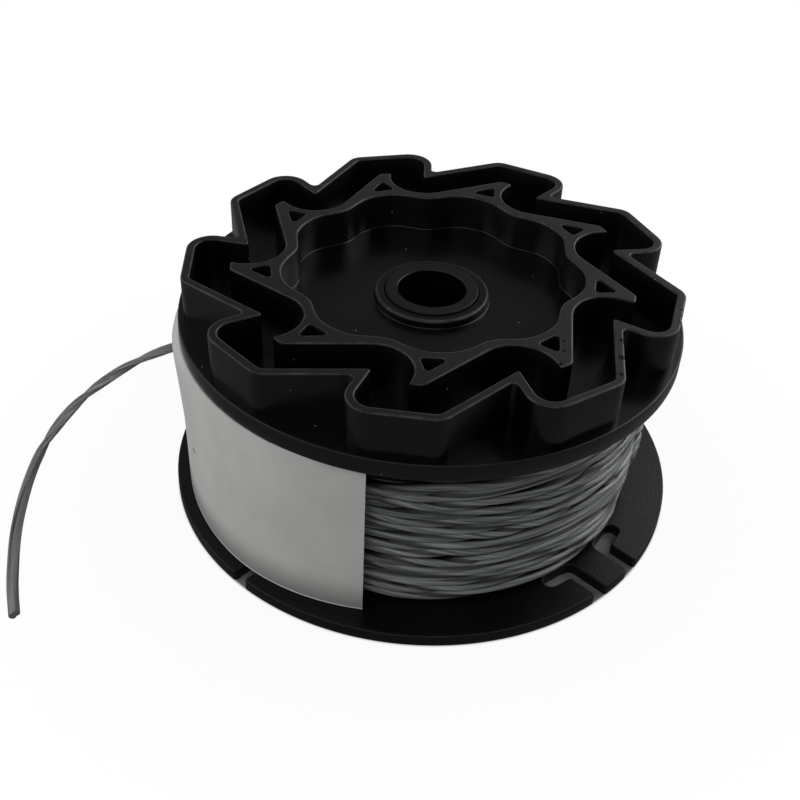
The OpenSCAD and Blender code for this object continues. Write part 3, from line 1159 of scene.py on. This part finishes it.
@dataclass
class Winding:
    """The outer layer of turns, which wander and crowd each other, over an even inner layer."""

    line: TwistedLine
    turn_r: float = 31.5
    crowd: float = 0.1
    crowd_turn: float = 47.0
    crowd_seed: float = 3.1
    crowd_end: float = 60.0
    # Turns heaped outwards at one side, between these bearings and from these heights up.
    heap: float = 1.1
    heap_turns: Spot = (-14.0, -7.0, 1.0, 18.0)
    heap_from: Pair = (5.6, 7.4)
    # Turns tucked in below them, about a bearing and up to these heights.
    tuck: float = 0.35
    tuck_bearing: float = -16.0
    tuck_half: float = 26.0
    tuck_to: Pair = (5.6, 7.2)
    under_r: float = 30.0
    under_pitch: float = 1.55
    under_start: float = 40.0
    under_twist: float = 97.0
    under_sides: int = 12
    step: float = 1.6
    low: float = 2.725
    low_run: float = 25.0
    twist_pitch: float = 29.0
    wander: float = 420.0
    first_turn: float = 12.0
    line_end_r: float = 31.6
    end_bearing: float = 80.0
    start_bearing: float = -118.0
    bearings: Spot = (-100.0, -80.0, -60.0, -42.0)
    # Heights of each turn at those bearings, from the top turn down.
    heights: tuple[Spot, ...] = (
        (25.9, 25.9, 25.7, 25.3), (24.4, 24.4, 24.3, 24.2), (21.4, 22.6, 23.1, 22.9), (20.5, 21.1, 21.6, 21.8),
        (19.4, 19.5, 19.7, 20.6), (17.9, 17.8, 18.0, 18.7), (16.7, 16.6, 16.8, 17.4), (15.2, 15.2, 15.2, 16.0),
        (13.8, 13.8, 13.8, 14.7), (12.2, 12.2, 12.4, 12.4), (10.9, 11.0, 11.2, 11.2), (9.1, 9.1, 9.9, 10.0),
        (7.8, 8.1, 8.9, 8.8), (6.3, 6.6, 7.6, 7.6), (5.2, 5.4, 6.4, 6.4), (3.9, 4.1, 4.7, 5.1),
        (2.8, 2.8, 3.1, 3.6),
    )

    def keys(self) -> list[Pair]:
        """Strings the turns' heights together.

        Returns:
            The whole winding's bearings, which run on from turn to turn, and heights.
        """
        made = [(self.start_bearing, self.heights[0][0])]
        for turn, row in enumerate(self.heights):
            made += [(360 * turn + bearing, height) for bearing, height in zip(self.bearings, row)]
        last = 360 * (len(self.heights) - 1) + self.end_bearing
        return made + [(last - self.low_run, self.low), (last, self.low)]

    def heaped(self, bearing: float, z: float) -> float:
        """Returns how far the turns are heaped outwards here, or tucked in.

        Args:
            bearing: The bearing, which may run on over whole turns.
            z: The height.

        Returns:
            The distance in millimetres.
        """
        at = (bearing + 180) % 360 - 180
        heap = self.heap * swell(at, self.heap_turns) * smooth(z, *self.heap_from)
        off = abs(at - self.tuck_bearing)
        low, gone = self.tuck_to
        return heap - self.tuck * smooth(off, self.tuck_half, 0.0) * smooth(z, gone, low)

    def outer_path(self) -> list[Vector]:
        """Draws the outer layer's path, from under the upper flange down to where the line leaves.

        Returns:
            The path's points.
        """
        keys = self.keys()
        last = keys[-1][0]
        made, spot, bearing = [], 0, keys[0][0]
        while bearing < last + self.step / 2:
            while spot < len(keys) - 2 and keys[spot + 1][0] < bearing:
                spot += 1
            (from_bearing, from_z), (to_bearing, to_z) = keys[spot], keys[spot + 1]
            z = from_z + (to_z - from_z) * smooth(bearing, from_bearing, to_bearing)
            left = min(1.0, max(0.0, last - bearing) / self.crowd_end)
            wander = noise.noise(Vector((bearing / self.crowd_turn, self.crowd_seed, 0.0)))
            out = self.crowd * wander * left * 2 + self.heaped(bearing, z)
            made.append(raised(self.turn_r + out, bearing, z))
            bearing += self.step
        end = raised(self.line_end_r, self.end_bearing, self.low)
        return made[:-1] + [end, end + raised(1.0, self.end_bearing + 90, 0) * self.line.width]

    def under_path(self) -> list[Vector]:
        """Draws the even path of the layer underneath.

        Returns:
            The path's points.
        """
        top = self.heights[0][0]
        turns = (top - self.low) / self.under_pitch
        steps = round(turns * 180 / self.step)
        return [raised(self.under_r, self.under_start + 360 * turns * i / steps, top + (self.low - top) * i / steps)
                for i in range(steps + 1)]

    def dress(self, finish: Material, deep: Material) -> None:
        """Places the turns, instead of the plain winding, and the layer under them.

        Args:
            finish: The outer turns' finish.
            deep: The finish of the layer under them, painted darker as shade.
        """
        line = replace(self.line, twist_pitch=self.twist_pitch, wander=self.wander)
        turns = line.swept("line_turns", self.outer_path(), finish, self.first_turn)
        settle(turns, "line_winding")
        coarse = TwistedLine(twist_pitch=self.under_twist, sides=self.under_sides)
        settle(coarse.swept("line_turns_under", self.under_path(), deep, 0.0))


@dataclass
class FreeEnd:
    """The free end of line, which leaves the lowest turn and lies round on the table in its own curl."""

    line: TwistedLine
    start_r: float = 31.6
    start_bearing: float = 80.0
    on_flange: float = 2.725
    lie: float = 0.855
    twisted: float = 86.2
    first_turn: float = 63.0
    cuts: int = 4
    # The route in plan: over the flange, down from its rim by so much at each point, and on the table.
    over_flange: tuple[Pair, ...] = (
        (-2, 32.4), (-6, 33), (-10, 33.4), (-14.2, 33.7), (-18.5, 33.8))
    coming_down: tuple[Triple, ...] = (
        (-22.8, 33.5, 0.3), (-27.2, 32.8, 1), (-31.4, 31.7, 1.5))
    on_table: tuple[Pair, ...] = (
        (-35.6, 30.2), (-39.6, 28.4), (-43.3, 26.2), (-46.7, 23.7), (-49.7, 20.9), (-52.4, 17.6), (-54.7, 13.8),
        (-56.6, 9.9), (-58, 6), (-59, 1.8), (-59.6, -2.6), (-59.8, -7), (-59.6, -11.5), (-59.1, -16),
        (-58.4, -20.4), (-57.4, -25), (-56.1, -29.6), (-54.7, -34), (-52.9, -38.6))

    def route(self) -> list[Vector]:
        """Lays out the line, from where it leaves the winding to its cut end.

        Returns:
            The points that it lies along.
        """
        high = self.on_flange
        way = raised(self.line.width, self.start_bearing + 90, 0)
        leaves = raised(self.start_r, self.start_bearing, high) + way
        places = [(x, y, high) for x, y in self.over_flange]
        places += [(x, y, high - down) for x, y, down in self.coming_down]
        places += [(x, y, self.lie) for x, y in self.on_table]
        return [leaves, leaves + way, *(Vector(at) for at in places)]

    def eased(self) -> list[Vector]:
        """Eases the route into one smooth line through its points, a Catmull-Rom spline.

        Returns:
            The line's points.
        """
        route = self.route()
        made = []
        for i in range(len(route) - 1):
            a, b, c, d = (route[max(0, i - 1)], route[i], route[i + 1], route[min(len(route) - 1, i + 2)])
            for step in range(self.cuts):
                t = step / self.cuts
                made.append(((2 * b) + (c - a) * t + (2 * a - 5 * b + 4 * c - d) * t ** 2
                             + (3 * b - 3 * c + d - a) * t ** 3) / 2)
        return made + [route[-1]]

    def dress(self, finish: Material) -> None:
        """Places the free end.

        Args:
            finish: The line's finish.
        """
        path = self.eased()
        piece = settle(self.line.swept("line_free_end", path, finish, self.first_turn, self.twisted, False),
                       "line_tail")


# ---- band


@dataclass
class PaperBand:
    """The blank band of paper: stiff, loosely wrapped, standing away from the line where it is free."""

    line_out_r: float = 32.425
    thick: float = 0.2
    low: float = 1.95
    high: float = 27.36
    front_bearing: float = -100.8
    sweep: float = 275.0
    far_turn: float = 240.0
    gap_front: float = 2.325
    gap_wide: float = 3.875
    gap_far: float = 0.7
    wide_turn: float = 36.0
    # The lower edge's rise over the line that leaves under it.
    lift: float = 2.0
    lift_bearing: float = 109.0
    lift_half: float = 16.0
    lift_r: float = 35.425
    # The bulge at the side, and how the upper margin is tucked under the rim.
    flare: float = 1.1
    flare_from: float = 14.0
    flare_full: float = 26.0
    flare_power: float = 1.1
    flare_turns: Spot = (24.0, 88.0, 150.0, 215.0)
    lip_from: float = 25.2
    lip_r: float = 36.17
    lip_power: float = 1.7
    lip_turns: Pair = (40.0, 64.0)
    ripple: float = 0.06
    # A ripple's size in degrees and in millimetres of height, and its seed.
    ripple_size: Triple = (30.0, 18.0, 7.7)
    ripple_start: float = 20.0
    ripple_top: float = 3.0
    across: int = 220
    up: int = 40

    def gap(self, turn: float) -> float:
        """Returns the gap between line and band.

        Args:
            turn: Degrees on from the front edge.

        Returns:
            The gap in millimetres.
        """
        if turn < self.wide_turn:
            return self.gap_front + (self.gap_wide - self.gap_front) * math.sin(math.pi / 2 * turn / self.wide_turn)
        return self.gap_wide + (self.gap_far - self.gap_wide) * smooth(turn, self.wide_turn, self.sweep)

    def lowest(self, bearing: float) -> float:
        """Returns the height of the lower edge, which rises over the line that leaves under it.

        Args:
            bearing: The bearing, which may run on over whole turns.

        Returns:
            The height in millimetres.
        """
        curve_r = (self.lift_half ** 2 + self.lift ** 2) / (2 * self.lift)
        off = math.radians((bearing - self.lift_bearing + 180) % 360 - 180) * self.lift_r
        if abs(off) >= self.lift_half:
            return self.low
        return self.low + self.lift - (curve_r - math.sqrt(curve_r ** 2 - off ** 2))

    def radius(self, turn: float, z: float) -> float:
        """Returns the outer skin's radius: it bulges at the side and its upper margin is tucked under the rim.

        Args:
            turn: Degrees on from the front edge.
            z: The height.

        Returns:
            The radius in millimetres.
        """
        rise = max(0.0, min(z, self.flare_full) - self.flare_from) / (self.flare_full - self.flare_from)
        flare = self.flare * swell(turn, self.flare_turns) * rise ** self.flare_power
        made = self.line_out_r + self.gap(turn) + self.thick + flare
        lean_in = ((z - self.low) / (self.high - self.low)) ** 2
        lip = (max(0.0, z - self.lip_from) / (self.high - self.lip_from)) ** self.lip_power
        bulges = smooth(turn, *self.lip_turns)
        made -= max(0.0, made - self.lip_r) * (lean_in * (1 - bulges) + lip * bulges)
        wide, tall, seed = self.ripple_size
        ripple = noise.noise(Vector((turn / wide, z / tall, seed))) * min(1.0, turn / self.ripple_start)
        return made + self.ripple * ripple * min(1.0, (self.high - z) / self.ripple_top)

    def point(self, i: int, j: int) -> Vector:
        """Returns a point of the band's middle surface.

        Args:
            i: Steps round from the front edge.
            j: Steps up from the lower edge.

        Returns:
            The point in millimetres.
        """
        turn = self.far_turn * i / self.across
        bearing = self.front_bearing - turn
        low = self.lowest(bearing)
        z = low + (self.high - low) * j / self.up
        return raised(self.radius(turn, z) - self.thick / 2, bearing, z)

    def build(self) -> Mesh:
        """Builds the band as a thin closed sheet: two skins, and the strips between their edges.

        Returns:
            The finished mesh.
        """
        sheet = bmesh.new()
        grid = [[self.point(i, j) for j in range(self.up + 1)] for i in range(self.across + 1)]
        skins = []
        for face_side in (0.5, -0.5):
            skin = []
            for i, column in enumerate(grid):
                ahead, behind = grid[min(self.across, i + 1)], grid[max(0, i - 1)]
                along = [front - back for front, back in zip(ahead, behind)]
                out = [Vector((-way.y, way.x, 0)).normalized() for way in along]
                skin.append([sheet.verts.new(here + way * self.thick * face_side)
                             for here, way in zip(column, out)])
            skins.append(skin)
        strips = skins + [[skin[i] for skin in skins] for i in (0, -1)]
        strips += [[[column[j] for column in skin] for skin in skins] for j in (0, -1)]
        for lines in strips:
            for left, right in zip(lines, lines[1:]):
                for corners in zip(left, right, right[1:], left[1:]):
                    sheet.faces.new(corners)
        return closed("blank_band", sheet)

    def dress(self, finish: Material) -> None:
        """Places the band, instead of its plain solid."""
        settle(place("blank_band", self.build(), finish), "paper_band")


# ---- studio


@dataclass(frozen=True)
class SoftBox:
    """A square lamp that looks at the spool."""

    name: str
    at: Triple
    size: float
    watts: float
    aim: Triple = (0.0, 0.0, 15.0)

    def light(self) -> None:
        """Places the lamp and turns it to the spool."""
        lamp = bpy.data.lights.new(self.name, "AREA")
        lamp.shape = "SQUARE"
        lamp.size = self.size * MM
        lamp.energy = self.watts
        made = bpy.data.objects.new(self.name, lamp)
        made.location = Vector(self.at) * MM
        made.rotation_euler = (Vector(self.aim) * MM - made.location).to_track_quat("-Z", "Y").to_euler()
        bpy.context.scene.collection.objects.link(made)


@dataclass
class Studio:
    """The camera, the floor and the light."""

    lens: float = 49.44
    sensor: float = 36.0
    clip_start: float = 5.0
    camera_at: Triple = (0.0, -134.024, 115.890)
    right: Triple = (0.99755619, 0.05823852, 0.03859963)
    up: Triple = (-0.06622422, 0.61202851, 0.78805803)
    forward: Triple = (-0.02227126, 0.78868839, -0.61438963)
    floor_side: float = 3000.0
    floor_seen: str = "#fafafa"
    floor_under: str = "#868787"
    floor_lit: str = "#9a9b9b"
    # Where the floor turns from the shade under the spool to white, and to full white.
    floor_clear: Pair = (38.0, 38.6)
    glare: Spot = (40.0, 75.0, 0.94, 1.0)
    # The sky's strength from the horizon up, and the glow low at the back.
    sky_low: float = 0.14
    sky_mid: float = 0.13
    sky_high: float = 0.14
    mid_from: Pair = (0.3, 0.65)
    high_from: Pair = (0.7, 1.0)
    glow: float = 0.45
    glow_back: Pair = (0.2, 0.6)
    glow_below: Pair = (0.45, 0.25)
    boxes: tuple[SoftBox, ...] = (
        SoftBox("left softbox", (-420.0, -60.0, 180.0), 460.0, 0.8),
        SoftBox("right softbox", (340.0, 210.0, 240.0), 480.0, 1.32),
        SoftBox("front softbox", (-60.0, -330.0, 360.0), 440.0, 0.5),
    )

    def camera(self) -> None:
        """Places the camera and makes it the scene's own."""
        data = bpy.data.cameras.new("camera")
        data.lens = self.lens
        data.sensor_width = self.sensor
        data.clip_start = self.clip_start * MM
        made = bpy.data.objects.new("camera", data)
        turn = Matrix([Vector(self.right), Vector(self.up), -Vector(self.forward)]).transposed()
        made.matrix_world = Matrix.Translation(Vector(self.camera_at) * MM) @ turn.to_4x4()
        bpy.context.scene.collection.objects.link(made)
        bpy.context.scene.camera = made

    def floor(self) -> None:
        """Lays the pale floor, which stays white round the spool and keeps its shade close to it."""
        half = self.floor_side * MM / 2
        mesh = bpy.data.meshes.new("floor")
        mesh.from_pydata([(-half, -half, 0), (half, -half, 0), (half, half, 0), (-half, half, 0)], [], [(0, 1, 2, 3)])
        material = bpy.data.materials.new("white table")
        tree = cleared(material)
        add = partial(node, tree)
        seen = add("LightPath").outputs["Is Camera Ray"]
        away = add("VectorMath LENGTH", add("TexCoord").outputs["Object"])
        clear = add("MapRange SMOOTHSTEP", away, *metres(self.floor_clear))
        white = add("Math MULTIPLY", seen, clear)
        shade = add("Mix RGBA", seen, self.floor_lit, self.floor_under)
        top = add("Mix RGBA", white, shade, self.floor_seen)
        near, far, *strengths = self.glare
        glare = add("MapRange", away, near * MM, far * MM, *strengths)
        share = add("Math MULTIPLY", white, glare)
        add("OutputMaterial", add("MixShader", share, add("BsdfDiffuse", top), add("Emission", "#ffffff", 1.0)))
        place("floor", mesh, material)

    def world(self) -> None:
        """Sets the sky: white where it is seen, and softer, with a glow low at the back, where it lights."""
        world = bpy.data.worlds.new("studio")
        bpy.context.scene.world = world
        tree = cleared(world)
        add = partial(node, tree)
        parts = add("SeparateXYZ", add("TexCoord").outputs["Generated"]).outputs
        light = add("MapRange SMOOTHSTEP", parts["Z"], *self.high_from, self.sky_mid, self.sky_high)
        light = add("MapRange SMOOTHSTEP", parts["Z"], *self.mid_from, self.sky_low, light)
        back = add("MapRange SMOOTHSTEP", parts["Y"], *self.glow_back, 0.0, self.glow)
        low = add("MapRange SMOOTHSTEP", parts["Z"], *self.glow_below, 0.0, 1.0)
        glow = add("Math MULTIPLY_ADD", back, low, light)
        rays = add("LightPath").outputs
        seen = add("Math MAXIMUM", rays["Is Camera Ray"], rays["Is Transmission Ray"])
        shown = add("Mix FLOAT", seen, glow, 1.0)
        add("OutputWorld", add("Background", "#ffffff", shown))

    def build(self) -> None:
        """Sets up the camera, the floor, the sky and the lamps."""
        bpy.context.scene.view_settings.view_transform = "Standard"
        self.camera()
        self.floor()
        self.world()
        for box in self.boxes:
            box.light()


def write_sizes() -> None:
    """Updates the view layer."""
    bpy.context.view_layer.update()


def main() -> None:
    """Builds the studio and the part's pieces in order."""
    logging.basicConfig(level=logging.INFO, format="%(name)s: %(message)s")
    Studio().build()
    finishes = {finish: finish.value.material() for finish in Finishes}
    line = TwistedLine()
    FreeEnd(line).dress(finishes[Finishes.LINE])
    Winding(line).dress(finishes[Finishes.LINE], finishes[Finishes.DEEP_LINE])
    CamMoulding().dress(finishes[Finishes.UPPER])
    SpoolMoulding().dress(finishes[Finishes.LOWER])
    PaperBand().dress(finishes[Finishes.PAPER])
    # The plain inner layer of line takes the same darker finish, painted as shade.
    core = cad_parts["line_core"].data
    core.materials.clear()
    core.materials.append(finishes[Finishes.DEEP_LINE])
    write_sizes()


if __name__ == "__main__":
    main()
